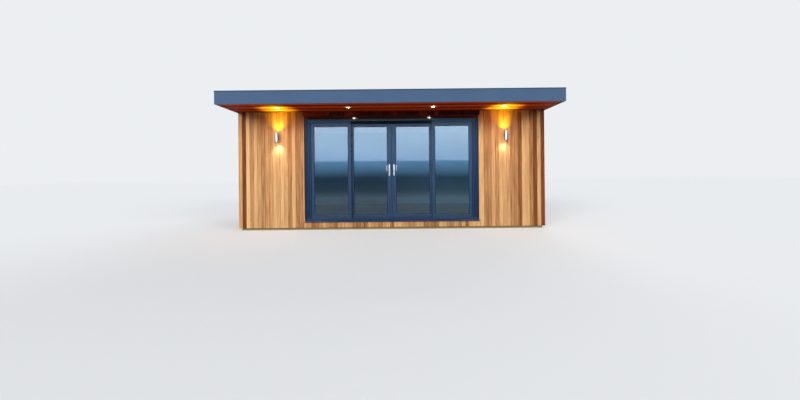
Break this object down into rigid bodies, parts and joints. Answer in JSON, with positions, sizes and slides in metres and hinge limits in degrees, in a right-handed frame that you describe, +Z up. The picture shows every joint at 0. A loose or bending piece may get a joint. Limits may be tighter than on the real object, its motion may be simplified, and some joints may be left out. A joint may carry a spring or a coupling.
{
  "type": "garden office pod",
  "caption": "Flat-roofed timber garden office pod with cedar cladding, a deep front overhang with lights in its soffit, and sliding glass doors in the middle of the front.",
  "frame": {"origin": "centre of the footprint of the walls, at ground level, on the underside of the floor frame", "axes": "+X along the front, to the right seen from the front; +Y from the front to the back; +Z up"},
  "size_m": [6.356, 4.9263, 2.672],
  "materials": {
    "structural_timber": "sawn, pressure treated",
    "floor_deck_board": "flakeboard",
    "floor_oak": "satin lacquer",
    "insulated_panel": "flakeboard facing",
    "white_plasterboard": "matt paint",
    "cedar_cladding": "oiled, boards of mixed tone",
    "cedar_soffit": "oiled",
    "roof_membrane": "matt",
    "anthracite_fascia": "satin powder coat",
    "anthracite_frame": "satin powder coat",
    "anthracite_plastic": "satin",
    "window_glass": "clear",
    "lamp_white": "gloss",
    "wall_light_steel": "brushed",
    "handle_chrome": "polished",
    "roller_nylon": "moulded"
  },
  "bodies": {
    "building": {"floor_rims": "structural_timber", "floor_joists": "structural_timber", "floor_deck": "floor_deck_board", "floor_boards": "floor_oak", "back_wall": "insulated_panel", "side_walls": "insulated_panel", "front_wall_piers": "insulated_panel", "front_wall_head": "insulated_panel", "wall_lining": "white_plasterboard", "ceiling": "white_plasterboard", "battens": "structural_timber", "back_cladding": "cedar_cladding", "side_cladding": "cedar_cladding", "front_cladding_piers": "cedar_cladding", "front_cladding_centre": "cedar_cladding", "doorway_laths": "cedar_cladding", "roof_panel": "insulated_panel", "roof_membrane": "roof_membrane", "fascia_front": "anthracite_fascia", "fascia_sides": "anthracite_fascia", "fascia_back": "anthracite_fascia", "roof_trim": "anthracite_fascia", "soffit": "cedar_soffit", "downlights": "lamp_white", "wall_lights": "wall_light_steel", "gutter": "anthracite_plastic", "downpipe": "anthracite_plastic", "door_cill": "anthracite_frame", "door_sill": "anthracite_frame", "door_jambs": "anthracite_frame", "door_head": "anthracite_frame", "fixed_stiles": "anthracite_frame", "fixed_rails": "anthracite_frame", "fixed_glass": "window_glass"},
    "left_door": {"left_door_stiles": "anthracite_frame", "left_door_tongue": "anthracite_frame", "left_door_rails": "anthracite_frame", "left_door_glass": "window_glass", "left_door_rollers": "roller_nylon", "left_door_handles": "handle_chrome"},
    "right_door": {"right_door_stiles": "anthracite_frame", "right_door_rails": "anthracite_frame", "right_door_glass": "window_glass", "right_door_rollers": "roller_nylon", "right_door_handles": "handle_chrome"}
  },
  "joints": [
    {"name": "left_door_slide", "type": "slide", "parent": "building", "child": "left_door", "axis": [-1, 0, 0], "range_m": [0, 0.7]},
    {"name": "right_door_slide", "type": "slide", "parent": "building", "child": "right_door", "axis": [1, 0, 0], "range_m": [0, 0.7]}
  ]
}
